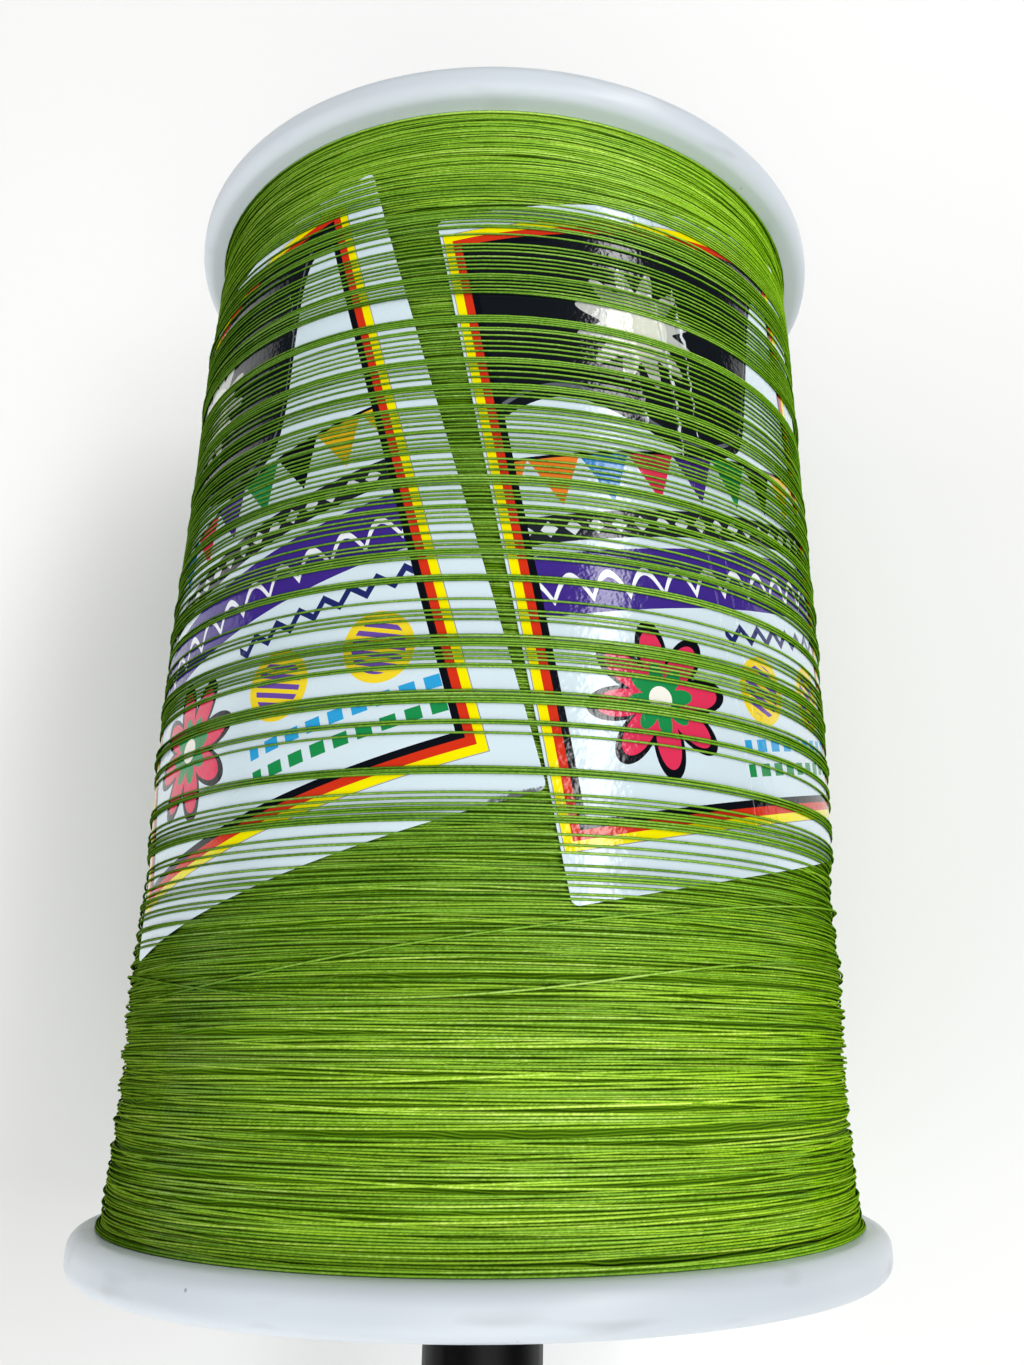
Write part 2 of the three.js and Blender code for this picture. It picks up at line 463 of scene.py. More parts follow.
@functools.lru_cache(maxsize=None)
def last_turns(thickness, depth, seed, card):
    """The turns over the labels: laid on the ground that the body and both cards make.

    The final turns cross the others and stand proud of them, by a height that rises smoothly
    over their first turn.
    """
    rng = np.random.default_rng(seed + 1)
    ground = body_turns(thickness, depth, seed)[2].copy()
    bed = label_bed(thickness, depth, seed)
    for node in LABELS:
        across, along = on_label(node, ANGLES[:, None], GROUND_Y)
        inside = (across > 0) & (across < LABEL_WIDTH) & (along > 0) & (along < LABEL_LENGTH)
        # one sample past both sides, because a taut turn leaves a card's edge at its full height
        inside = highest(inside, 1, 0, True)
        ground = np.where(inside, np.maximum(ground, bed + card + TURN_GAP), ground)
    path = [bunching_guide(*sweep, rng) for sweep in LAST_SWEEPS]
    turns = np.arange(FINAL_TURNS[-1, 0] * AROUND) / AROUND
    path = np.concatenate([*path, blur(np.interp(turns, *FINAL_TURNS.T), 3)])
    level = ground + LAST_HEAP * thickness
    places, radii = lay(ground, path.reshape(-1, AROUND), thickness, LAST_SLIDE, level)
    rise = smoothstep(np.arange(len(turns)) / AROUND)
    radii[-len(turns) // AROUND :] += FINAL_RISE * thickness * rise.reshape(-1, AROUND)
    return places, radii


# ---- Meshes ---------------------------------------------------------------------------------


def grid(rows, columns, round_columns=False):
    """Quads over points that are stored row by row, facing along column step x row step.

    Returns the quads' point numbers, and each corner's row and column, where a round grid's
    last column is followed by one more instead of the first.
    """
    row, column = np.meshgrid(
        np.arange(rows - 1), np.arange(columns - (not round_columns)), indexing="ij"
    )
    corner_rows = np.stack([row, row, row + 1, row + 1], -1).reshape(-1, 4)
    corner_columns = np.stack([column, column + 1, column + 1, column], -1).reshape(-1, 4)
    return corner_rows * columns + corner_columns % columns, corner_rows, corner_columns


def tube(rows, columns):
    """Faces over rings of points, one ring after another, with a flat face at both ends.

    Returns the blocks of faces, and the row and column of each corner of the quads.
    """
    quads, corner_rows, corner_columns = grid(rows, columns, round_columns=True)
    ring = np.arange(columns)
    return [quads, [ring[::-1]], [ring + (rows - 1) * columns]], corner_rows, corner_columns


def put(name, data):
    """A new object of the scene, at the origin."""
    thing = bpy.data.objects.new(name, data)
    bpy.context.scene.collection.objects.link(thing)
    return thing


def make_piece(name, points, faces, replaces=(), maps=None):
    """One object at the origin, from points in mm and blocks of faces of one size each.

    maps holds UV maps by name, each with a place for every corner of every face.
    """
    mesh = bpy.data.meshes.new(name)
    corners = np.concatenate([np.ravel(block) for block in faces]).astype(np.int32)
    sizes = np.concatenate([np.full(len(block), np.shape(block)[1]) for block in faces])
    starts = np.concatenate([[0], np.cumsum(sizes)[:-1]]).astype(np.int32)
    mesh.vertices.add(len(points))
    mesh.vertices.foreach_set("co", (np.asarray(points) * MM).astype(np.float32).ravel())
    mesh.loops.add(len(corners))
    mesh.loops.foreach_set("vertex_index", corners)
    mesh.polygons.add(len(sizes))
    mesh.polygons.foreach_set("loop_start", starts)
    mesh.update(calc_edges=True)
    for map_name, places in (maps or {}).items():
        layer = mesh.uv_layers.new(name=map_name)
        layer.data.foreach_set("uv", np.asarray(places, np.float32).ravel())
    mesh.validate()
    mesh.shade_smooth()
    piece = put(name, mesh)
    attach(piece, "root")
    if replaces:
        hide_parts(*replaces)
    return piece


def turned_piece(name, profile, node, floor=-math.inf):
    """A profile of (radius, y) carried round the axis, closed by a small flat at each end.

    No point goes below the floor, which makes the small flat spot that the piece rests on.
    """
    radius, y = np.asarray(profile, float).T
    points = on_reel(RING, radius[:, None], y[:, None])
    points[..., 2] = np.maximum(points[..., 2], floor)
    faces, _, _ = tube(len(profile), TURNED_STEPS)
    return make_piece(name, points.reshape(-1, 3), faces, [node])


def edge_arc(radius, y, fillet, start, end, steps):
    """Points (radius, y) on a rounded edge: on a circle, from one angle in degrees to another."""
    angle = np.radians(np.linspace(start, end, steps))
    return np.stack([radius + fillet * np.cos(angle), y + fillet * np.sin(angle)], -1)


def flange_profile(start_y):
    """From the middle of the near face, over the two rounded edges of the rim, to the middle."""
    end_y, shoulder = start_y + FLANGE_THICKNESS, FLANGE_RADIUS - RIM_FILLET
    rings = [0.5, 30, 60, 78, shoulder - 1]  # radii that keep the flat faces' quads short
    return np.concatenate(
        [
            [(ring, start_y) for ring in rings],
            edge_arc(shoulder, start_y + RIM_FILLET, RIM_FILLET, -90, 0, 9),
            edge_arc(shoulder, end_y - RIM_FILLET, RIM_FILLET, 0, 90, 9),
            [(ring, end_y) for ring in rings[::-1]],
        ]
    )


def handle_profile():
    """From the rounded free end, along the slight taper, to the flange's face."""
    tip_y, root_y = GRIP[:, 1]
    shoulder = HANDLE_TIP_RADIUS - HANDLE_FILLET
    taper = np.linspace(0.04, 1, 9)
    body_y = tip_y + HANDLE_FILLET + (root_y - tip_y - HANDLE_FILLET) * taper
    body_radius = HANDLE_TIP_RADIUS + (HANDLE_RADIUS - HANDLE_TIP_RADIUS) * taper
    return np.concatenate(
        [
            [(0.4, tip_y), (shoulder - 1, tip_y)],
            edge_arc(shoulder, tip_y + HANDLE_FILLET, HANDLE_FILLET, -90, 0, 8),
            np.stack([body_radius, body_y], -1),
            [(HANDLE_RADIUS - 0.2, root_y), (0.4, root_y)],
        ]
    )


def thread_piece(name, first_turn, places, radii, thickness):
    """A round thread: its section carried along the centre line, in the plane of the axis.

    The section has corners at equal angles, the last face being the one underneath. The map
    "Thread" has millimetres along the thread and shares of the way round it. The map "OFBake"
    has one strip for each turn.
    """
    angle = ANGLES[0] + math.tau * (np.arange(len(places)) % AROUND) / AROUND
    around = math.tau * (np.arange(THREAD_SIDES) - THREAD_SIDES // 2) / THREAD_SIDES
    half = thickness / 2
    radius = radii[:, None] + half * np.cos(around)
    y = WINDING_Y + places[:, None] - half * np.sin(around)
    points = on_reel(angle[:, None], radius, y).reshape(-1, 3)
    faces, rows, columns = tube(len(places), THREAD_SIDES)
    share = columns / THREAD_SIDES
    turn = rows[:, :1] // AROUND
    turns = (len(places) - 1) // AROUND
    # a strip takes the middle 0.92 of its turn's height, so that strips don't touch
    strip = np.stack([rows / AROUND - turn, (turn + 0.04 + 0.92 * share) / turns], -1)
    length = math.tau * WINDING_RADIUS * (first_turn + rows / AROUND)
    caps = np.zeros((2 * THREAD_SIDES, 2))
    maps = {
        "Thread": np.concatenate([np.stack([length, share], -1).reshape(-1, 2), caps]),
        "OFBake": np.concatenate([strip.reshape(-1, 2), caps]),
    }
    return make_piece(name, points, faces, maps=maps)


def thread_pieces(name, places, radii, thickness):
    """One long thread, cut into pieces of so many turns."""
    places, radii = blur(places.ravel(), 1), blur(radii.ravel(), 1)
    pieces = []
    for number, turn in enumerate(range(0, len(places) // AROUND, PIECE_TURNS), start=1):
        part = slice(turn * AROUND, (turn + PIECE_TURNS) * AROUND + 1)
        pieces.append(thread_piece(f"{name}_{number}", turn, places[part], radii[part], thickness))
    return pieces


def core_piece(depth):
    """The hidden turns as one closed surface: the winding's form, a little smaller."""
    along = np.linspace(0, 1, CORE_RINGS)[:, None]
    y = WINDING_Y + END_GAP + (WINDING_LENGTH - 2 * END_GAP) * along
    points = on_reel(RING, winding_radius(RING, along) - depth, y).reshape(-1, 3)
    faces, _, _ = tube(CORE_RINGS, TURNED_STEPS)
    return make_piece("winding_core", points, faces, ["winding"])


def creases(node, across, along):
    """Each crease is a sharp ridge along its line, fading smoothly at both of its ends.

    The line wanders by two sine waves, and the ridge falls off with the distance from it, as
    exp(-distance / width). Returns the height of the ridges, the distance to the nearest line,
    and how strong the crease is there, as a share of a full one.
    """
    ridges, distances, fades = [], [], []
    for line, low, high, most in CREASES[node]:
        wander = 0.8 * np.sin(along / 9 + line) + 0.3 * np.sin(along * 1.3 + line)
        distance = np.abs(across - line - wander)
        fade = smoothstep((along - low) / CREASE_FADE) * smoothstep((high - along) / CREASE_FADE)
        ridges.append(most * np.exp(-distance / CREASE_WIDTH) * fade)
        distances.append(distance)
        fades.append(fade * most / FULL_CREASE)
    nearest = np.argmin(distances, axis=0)[None]
    distance, fade = (np.take_along_axis(np.stack(a), nearest, 0)[0] for a in (distances, fades))
    return np.sum(ridges, axis=0), distance, fade


def label_piece(node, card, bed):
    """A thin card with rounded corners that lies on the turns, wrapped round the reel.

    Near its ends each row of the card is shorter by r - sqrt(r^2 - (r - d)^2) at both sides,
    where r is the corner's radius and d the distance from the end. Its height is the bed's,
    blurred along and across the card, plus the ridges of the creases.
    """
    ends = LABEL_CORNER * (1 - np.cos(np.linspace(0, math.pi / 2, 7)))
    middle = np.arange(LABEL_CORNER + LABEL_STEP, LABEL_LENGTH - LABEL_CORNER, LABEL_STEP)
    along = np.concatenate([ends, middle, LABEL_LENGTH - ends[::-1]])[:, None]
    from_end = np.minimum(np.minimum(along, LABEL_LENGTH - along), LABEL_CORNER)
    inset = LABEL_CORNER - np.sqrt(LABEL_CORNER**2 - (LABEL_CORNER - from_end) ** 2)
    # the columns are closer together where a crease runs, and at the card's right edge
    fine = [np.arange(line - 2, line + 2, CREASE_COLUMN) for line, *_ in CREASES[node]]
    coarse = np.arange(0, LABEL_WIDTH - 0.5, LABEL_COLUMN)
    share = np.unique(np.concatenate([coarse, [0.15, LABEL_WIDTH - 0.15, LABEL_WIDTH], *fine]))
    across = inset + (LABEL_WIDTH - 2 * inset) * share / LABEL_WIDTH
    along = np.broadcast_to(along, across.shape)
    angle, y = under_label(node, across, along)
    ridge, distance, strength = creases(node, across, along)
    height = blur(blur(sampled(bed, angle, y), 3, 0), 3, 1) + ridge
    top = on_reel(angle, height + card, WINDING_Y + y)
    under = on_reel(angle, height, WINDING_Y + y)
    points = np.concatenate([top, under[:, ::-1]], axis=1).reshape(-1, 3)
    rows, columns = across.shape
    quads, _, _ = grid(rows, 2 * columns, round_columns=True)
    i = np.arange(columns - 1)
    cap = np.stack([i, 2 * columns - 1 - i, 2 * columns - 2 - i, i + 1], -1)
    faces = [quads, cap, cap[:, ::-1] + (rows - 1) * 2 * columns]
    # every corner's place on the card, in mm, with the underside mirrored past its left edge,
    # and its distance from the nearest crease, with that crease's strength
    maps = {}
    for name, top_pair, under_pair in (
        ("Card", (across, along), (-across[:, ::-1], along)),
        ("Crease", (distance, strength), (distance[:, ::-1] + 9, 0 * strength)),
    ):
        pairs = [np.concatenate(pair, axis=1) for pair in zip(top_pair, under_pair)]
        flat = np.stack(pairs, -1).reshape(-1, 2)
        maps[name] = flat[np.concatenate([block.ravel() for block in faces])]
    return make_piece(node + "_card", points, faces, [node], maps=maps)


# ---- Materials ------------------------------------------------------------------------------


def node_adder(tree):
    """Empties a node tree, and returns the function that adds a node to it."""
    tree.nodes.clear()
    return functools.partial(add_node, tree)


def add_node(tree, kind, inputs=(), **settings):
    """Adds a node, and links or sets its inputs, by place or name, and sets its settings.

    The kind may be followed by the node's operation. A node given as an input stands for its
    first output that is in use.
    """
    kind, _, operation = kind.partition(" ")
    node = tree.nodes.new("ShaderNode" + kind)
    if operation:
        node.operation = operation
    for name, value in settings.items():
        setattr(node, name, value)
    for key, value in inputs.items() if isinstance(inputs, dict) else enumerate(inputs):
        if isinstance(value, bpy.types.Node):
            value = next(output for output in value.outputs if output.enabled)
        if isinstance(value, bpy.types.NodeSocket):
            tree.links.new(value, node.inputs[key])
        else:
            node.inputs[key].default_value = value
    return node


def new_material(name):
    """An empty node material, and the function that adds a node to it."""
    material = bpy.data.materials.new(name)
    material.use_nodes = True
    return material, node_adder(material.node_tree)


def set_stops(ramp, stops, interpolation="LINEAR"):
    """Gives a colour ramp its stops, as (place, linear colour) in rising order."""
    elements = ramp.color_ramp.elements
    for _ in range(len(stops) - 2):
        elements.new(0.5)
    for element, (place, colour) in zip(elements, stops):
        element.position = place
        element.color = (*colour[:3], 1.0)
    ramp.color_ramp.interpolation = interpolation


def dyed_cotton_thread(name, colour, flanks):
    """Spun cotton thread, dyed green and polished with starch.

    The plies catch the light as small bright specks, the dye is uneven along the thread, and
    the polish leaves a soft sheen along the top of each turn, while painted shade darkens its
    flanks. The turns at both ends of the winding are paler than those between. Painted shade
    darkens the turns towards both sides of the reel, most on the left, and the polish is worn
    off towards both sides.
    """
    material, add = new_material(name)
    parts = add("SeparateXYZ", [add("UVMap", uv_map="Thread")])
    along, around = parts.outputs[0], parts.outputs[1]
    # the plies twist once in 2.2 mm, twice the real pitch, so that they show
    ply = add("Math MULTIPLY_ADD", [along, 1 / 2.2, around])
    ply = add("Math MULTIPLY", [ply, 2 * math.tau])
    ply = add("Math SINE", [ply])
    # unevenness that is some 80 mm, 5 mm and 1 mm long
    tone, slub, speck = (
        add("TexNoise", {"W": along, "Scale": scale, "Detail": detail}, noise_dimensions="1D")
        for scale, detail in ((0.012, 1.0), (0.22, 2.0), (1.1, 1.0))
    )
    for part, amount in ((slub, 0.5), (speck, 0.5), (ply, 0.04)):
        tone = add("Math MULTIPLY_ADD", [part, amount, tone])
    tone = add("MapRange", [tone, 0.7, 1.3, 0.0, 1.0])
    shade = add("ValToRGB", [tone])
    set_stops(shade, [(place, tinted(colour, factor)) for place, factor in DYE])
    # painted shade: each turn is darker on its flanks, away from its outermost line
    flank = add("Math ADD", [around, -OUTERMOST])
    flank = add("Math ABSOLUTE", [flank])
    flank = add("MapRange", [flank, *flanks, 0.0, 1.0])
    tints = [(flank, (*FLANK_SHADE, 1.0))]
    reel = add("SeparateXYZ", [add("TexCoord").outputs["Object"]])
    spans = (-WINDING_RADIUS, WINDING_RADIUS), (WINDING_Y, WINDING_Y + WINDING_LENGTH)
    # across the reel the ramp paints shade towards both sides; along it the turns between the ends
    # are darker
    for axis, (start, end), stops in zip((0, 1), spans, (PAINTED_SIDE_SHADE, TONE_ALONG)):
        share = add("MapRange", [reel.outputs[axis], start * MM, end * MM, 0.0, 1.0])
        shade_and_tone = add("ValToRGB", [share])
        set_stops(shade_and_tone, stops)
        tints.append((1.0, shade_and_tone))
    for mask, tint in tints:
        inputs = {0: mask, 6: shade, 7: tint}
        shade = add("Mix", inputs, data_type="RGBA", blend_type="MULTIPLY")
    aside = add("Math ABSOLUTE", [reel.outputs[0]])
    worn = [share * WINDING_RADIUS * MM for share in POLISH_WORN]
    surface = {
        "Base Color": shade,
        "Roughness": 0.4,
        "IOR": 1.5,
        "Specular IOR Level": add("MapRange", [aside, *worn, POLISH, 0.0]),
        "Specular Tint": (*THREAD_GLEAM, 1.0),
        "Normal": add("Bump", {"Height": ply, "Strength": 0.4, "Distance": 0.05 * MM}),
    }
    add("OutputMaterial", [add("BsdfPrincipled", surface)])
    return material


def deep_cotton_thread(colour):
    """The turns deep under the outer ones: the same thread, in ridges, with painted shade over all
    of it.
    """
    material, add = new_material("deep_cotton_thread")
    place = add("TexCoord").outputs["Object"]
    wobble = add("TexNoise", {"Vector": place, "Scale": 40.0})
    parts = add("SeparateXYZ", [place])
    along = add("Math MULTIPLY_ADD", [wobble, 0.004, parts.outputs[1]])
    # a ridge for each 0.6 mm along the reel
    ridge = add("Math MULTIPLY", [along, math.tau / (0.6 * MM)])
    ridge = add("Math SINE", [ridge])
    height = add("MapRange", [ridge, -1.0, 1.0, 0.0, 1.0])
    # painted shade: the dye darkened many times over, most in the hollows between the ridges
    hollow, crest = tinted(colour, (0.1, 0.16, 0.04)), tinted(colour, (0.4, 0.5, 0.2))
    surface = {
        "Base Color": add("Mix", {0: height, 6: hollow, 7: crest}, data_type="RGBA"),
        "Roughness": 0.8,
        "IOR": 1.5,
        "Specular IOR Level": 0.1,
        "Normal": add("Bump", {"Height": ridge, "Strength": 0.8, "Distance": 0.15 * MM}),
    }
    add("OutputMaterial", [add("BsdfPrincipled", surface)])
    return material


def moulded_white_plastic(colour):
    """Injection-moulded polypropylene, white with a blue tint.

    It has a satin finish that softly takes on the thread beside it. Handling has left faint
    grey clouds and smudges, a few dark specks, and fine scratches that dull it.
    """
    material, add = new_material("moulded_white_polypropylene")
    place = add("TexCoord").outputs["Object"]
    smudge = add("Mapping", {"Vector": place, "Scale": (40, 240, 100)})
    smudge = add("TexNoise", {"Vector": smudge, "Scale": 1.0, "Detail": 1.0})
    smudge = add("MapRange", [smudge, 0.62, 0.85, 0.0, 0.4])
    speck = add("TexVoronoi", {"Vector": place, "Scale": 90.0}).outputs["Distance"]
    speck = add("MapRange", [speck, 0.02, 0.035, 0.5, 0.0])
    cloud = add("TexNoise", {"Vector": place, "Scale": 22.0, "Detail": 2.0})
    cloud = add("MapRange", [cloud, 0.3, 0.7, 0.0, 0.12])
    scratch = add("TexNoise", {"Vector": place, "Scale": 90.0, "Detail": 4.0})
    ripple = add("TexNoise", {"Vector": place, "Scale": 35.0, "Detail": 1.0})
    grey = linear("8e918c")
    for mask, mark in ((cloud, grey), (smudge, grey), (speck, linear("3a3833"))):
        colour = add("Mix", {0: mask, 6: colour, 7: mark}, data_type="RGBA")
    surface = {
        "Base Color": colour,
        "Roughness": add("MapRange", [scratch, 0.3, 0.7, 0.3, 0.4]),
        "IOR": 1.49,
        "Normal": add("Bump", {"Height": ripple, "Strength": 0.05, "Distance": 0.2 * MM}),
    }
    add("OutputMaterial", [add("BsdfPrincipled", surface)])
    return material


def moulded_black_plastic(colour):
    """Moulded ABS, near black, with a satin spark-eroded grain and paler handling scuffs."""
    material, add = new_material("moulded_black_abs")
    place = add("TexCoord").outputs["Object"]
    grain = add("TexNoise", {"Vector": place, "Scale": 1 / (0.8 * MM), "Detail": 2.0})
    scuff = add("Mapping", {"Vector": place, "Scale": (400, 40, 400)})
    scuff = add("TexNoise", {"Vector": scuff, "Scale": 1.0, "Detail": 4.0})
    worn = add("MapRange", [scuff, 0.6, 0.78, 0.0, 0.35])
    surface = {
        "Base Color": add("Mix", {0: worn, 6: colour, 7: linear("262627")}, data_type="RGBA"),
        "Roughness": add("MapRange", [scuff, 0.35, 0.75, 0.34, 0.52]),
        "IOR": 1.53,
        "Specular IOR Level": 0.15,
        "Normal": add("Bump", {"Height": grain, "Strength": 0.3, "Distance": 0.05 * MM}),
    }
    add("OutputMaterial", [add("BsdfPrincipled", surface)])
    return material


def laminated_print(card):
    """Four-colour print on white card, laminated with glossy film.

    The film gives clear reflections, rippled by the turns underneath and mottled by the card's
    own grain. Pale lines run along its creases, partly cracked film and partly painted glints,
    and one corner has dark grey speckles. The print has border lines, a dark sky with a pale
    sun, a row of pennants, bands of diamonds and scallops, a rosette and striped balls, placed
    by millimetres on the card.
    """
    material, add = new_material("laminated_print_on_card")
    place = add("UVMap", uv_map="Card")
    parts = add("SeparateXYZ", [place])
    u, v = parts.outputs[0], parts.outputs[1]
    film = add("TexCoord").outputs["Object"]
    layers = sky(add, place, u, v) + pennants(add, u, v) + bands(add, u, v) + rosette(add, place)
    layers += balls(add, place, u, v) + border(add, u, v, card) + wear_and_glints(add, place, film)
    colour = card
    for mask, ink in layers:
        colour = add("Mix", {0: mask, 6: colour, 7: ink}, data_type="RGBA")
    ripple = add("Mapping", {"Vector": film, "Scale": (50, 420, 50)})
    ripple = add("TexNoise", {"Vector": ripple, "Scale": 1.0, "Detail": 1.0})
    dents = add("TexNoise", {"Vector": film, "Scale": 80.0, "Detail": 2.0})
    height = add("Math MULTIPLY_ADD", [ripple, 0.35, dents])
    # the grain of the card is 1.2 mm across, twice the real one, so that it shows
    grain = add("TexNoise", {"Vector": film, "Scale": 1 / (1.2 * MM), "Detail": 1.0})
    height = add("Math MULTIPLY_ADD", [grain, 0.45, height])
    bump = add("Bump", {"Height": height, "Strength": 0.5, "Distance": 0.35 * MM})
    surface = {
        "Base Color": colour,
        "Roughness": 0.6,
        "IOR": 1.5,
        "Specular IOR Level": 0.0,
        "Coat Weight": 1.0,
        "Coat Roughness": 0.11,
        "Coat IOR": 1.52,
        "Coat Normal": bump,
        "Normal": bump,
    }
    add("OutputMaterial", [add("BsdfPrincipled", surface)])
    return material


def wear_and_glints(add, place, film):
    """Cracks and painted glints 0.4 mm wide along the creases, broken by noise, and dark grey
    speckles at the near right corner.
    """
    crease = add("SeparateXYZ", [add("UVMap", uv_map="Crease")])
    breaks = add("TexNoise", {"Vector": film, "Scale": 1 / (2.5 * MM), "Detail": 2.0})
    reach = add("Math MULTIPLY_ADD", [breaks, 1.7, -0.55])
    reach = add("Math MULTIPLY", [reach, crease.outputs[1]])
    # pale lines along the creases: partly cracked film, partly painted glints
    crack_and_glint = add("Math SUBTRACT", [reach, crease.outputs[0]])
    crack_and_glint = add("MapRange", [crack_and_glint, 0.0, 0.15, 0.0, 0.85])
    # dark grey speckles near the card's near right corner
    corner = add("VectorMath SUBTRACT", [place, (96.0, 0.0, 0.0)])
    corner = add("VectorMath MULTIPLY", [corner, (0.2, 1.1, 0.0)])
    corner = add("VectorMath LENGTH", [corner])
    corner_speckle = add("TexNoise", {"Vector": film, "Scale": 1 / (0.9 * MM), "Detail": 4.0})
    grey_corner = add("Math MULTIPLY_ADD", [corner, -0.3, corner_speckle])
    grey_corner = add("MapRange", [grey_corner, 0.1, 0.3, 0.0, 0.85])
    return [(crack_and_glint, linear("dfe8ea")), (grey_corner, linear("50534a"))]


def border(add, u, v, card):
    """Lines along the border: bare card, a hairline, yellow, red, black and bare card.

    They follow the distance d from the border's box, the least of the four from its sides.
    """
    left, right, near, far = BORDER_BOX
    d, *sides = (
        add("Math SUBTRACT", pair) for pair in ([u, left], [right, u], [v, near], [far, v])
    )
    for side in sides:
        d = add("Math MINIMUM", [d, side])
    lines = add("ValToRGB", [add("MapRange", [d, -1.0, 9.0, 0.0, 1.0])])
    edges = np.cumsum([-1.0, 0.8, 0.2, 1.8, 1.8, 1.5])
    inks = (card, linear("8b9099"), linear("f2e600"), linear("cf3118"), BLACK_INK, card)
    set_stops(lines, [((edge + 1) / 10, ink) for edge, ink in zip(edges, inks)], "CONSTANT")
    return [(add("Math LESS_THAN", [d, float(edges[-1])]), lines)]


def from_centre(add, place, centre):
    """The bearing and the distance of a place on the card from a centre."""
    away = add("VectorMath SUBTRACT", [place, centre])
    parts = add("SeparateXYZ", [away])
    bearing = add("Math ARCTAN2", [parts.outputs[1], parts.outputs[0]])
    return bearing, add("VectorMath LENGTH", [away])


def sky(add, place, u, v):
    """A charcoal field past a wavy edge, with a pale line along it, and a sun with rays.

    The edge is v = 96 + 7 sin(u / 11), and rises by 34 mm towards the right side. The rays
    reach 12 + 3 sin(12 a) from the sun's middle.
    """
    wave = add("Math MULTIPLY", [u, 1 / 11])
    wave = add("Math SINE", [wave])
    edge = add("Math MULTIPLY_ADD", [wave, 7.0, 96.0])
    slope = add("MapRange", [u, 62.0, 84.0, 0.0, 34.0], interpolation_type="SMOOTHSTEP")
    edge = add("Math ADD", [edge, slope])
    over = add("Math SUBTRACT", [v, edge])
    bearing, far = from_centre(add, place, (40.0, 120.0, 0.0))
    spokes = add("Math MULTIPLY", [bearing, 12.0])
    spokes = add("Math SINE", [spokes])
    reach = add("Math MULTIPLY_ADD", [spokes, 3.0, 12.0])
    return [
        (add("Math GREATER_THAN", [over, 0.0]), linear("14181d")),
        (add("Math COMPARE", [over, 3.0, 0.5]), linear("5f666c")),
        (add("Math LESS_THAN", [far, reach]), linear("b9bcb6")),
        (add("Math LESS_THAN", [far, 7.5]), linear("d9dccb")),
    ]


def pennants(add, u, v):
    """Seven pennants, 11 mm wide and 11 mm long, that hang side by side from a string."""
    cell = add("Math SUBTRACT", [u, 8.5])
    cell = add("Math DIVIDE", [cell, 11.0])
    x = add("Math FRACT", [cell])
    x = add("Math SUBTRACT", [x, 0.5])
    x = add("Math ABSOLUTE", [x])
    half_width = add("MapRange", [v, 78.0, 89.0, 0.0, 0.5], clamp=False)
    flag = add("Math LESS_THAN", [x, half_width])
    below = add("Math COMPARE", [v, 83.5, 5.5])
    flag = add("Math MULTIPLY", [flag, below])
    hues = add("ValToRGB", [add("MapRange", [cell, 0.0, 7.0, 0.0, 1.0])])
    inks = ("f0812c", "2a7fc4", "dc3552", "472a86", "1c8a4a", "0e1118", "e8b51c")
    set_stops(hues, [(i / 7 + 0.001, linear(ink)) for i, ink in enumerate(inks)], "CONSTANT")
    return [(flag, hues), (add("Math COMPARE", [v, 89.3, 0.35]), BLACK_INK)]


def bands(add, u, v):
    """A charcoal band of diamonds, a purple band with scallops, a navy zigzag, and dashes."""
    # pale diamonds 5 mm apart, each where |x| + |y| < 1.8
    x = add("Math PINGPONG", [u, 2.5])
    y = add("Math SUBTRACT", [v, 73.0])
    y = add("Math ABSOLUTE", [y])
    diamonds = add("Math ADD", [x, y])
    # white scallops 8 mm wide
    arch = add("Math MULTIPLY", [u, math.pi / 8])
    arch = add("Math SINE", [arch])
    arch = add("Math ABSOLUTE", [arch])
    top = add("Math MULTIPLY_ADD", [arch, 5.0, 57.5])
    # the zigzag is 3 mm high, and it and the dashes fill the right half only
    right = add("Math GREATER_THAN", [u, 46.0])
    zigzag = add("Math PINGPONG", [u, 3.0])
    zigzag = add("Math ADD", [zigzag, 47.5])
    zigzag = add("Math COMPARE", [v, zigzag, 0.9])
    layers = [
        (add("Math COMPARE", [v, 73.0, 3.0]), linear("23262d")),
        (add("Math LESS_THAN", [diamonds, 1.8]), linear("d5dde0")),
        (add("Math COMPARE", [v, 61.0, 6.5]), linear("3f2a86")),
        (add("Math COMPARE", [v, top, 0.8]), linear("eef2f6")),
        (add("Math MULTIPLY", [zigzag, right]), linear("232a66")),
    ]
    # dashes 3.2 mm long on every 5 mm, in two rows
    beat = add("Math FLOORED_MODULO", [u, 5.0])
    beat = add("Math LESS_THAN", [beat, 3.2])
    beat = add("Math MULTIPLY", [beat, right])
    for middle, ink in ((20.5, "1c8a4a"), (25.5, "2f9fd6")):
        row = add("Math COMPARE", [v, middle, 1.3])
        layers.append((add("Math MULTIPLY", [row, beat]), linear(ink)))
    return layers


def rosette(add, place):
    """A rosette of eight petals, whose edges are at r + p |cos(4 a)| from its middle."""
    bearing, far = from_centre(add, place, (26.0, 36.0, 0.0))
    petal = add("Math MULTIPLY", [bearing, 4.0])
    petal = add("Math COSINE", [petal])
    petal = add("Math ABSOLUTE", [petal])
    layers = []
    for inner, reach, ink in (
        (9.0, 7.0, "0e1118"),
        (6.5, 7.5, "dd3358"),
        (4.0, 3.5, "1c8a4a"),
        (2.6, 0.0, "f4f1e6"),
    ):
        edge = add("Math MULTIPLY_ADD", [petal, reach, inner])
        layers.append((add("Math LESS_THAN", [far, edge]), linear(ink)))
    return layers


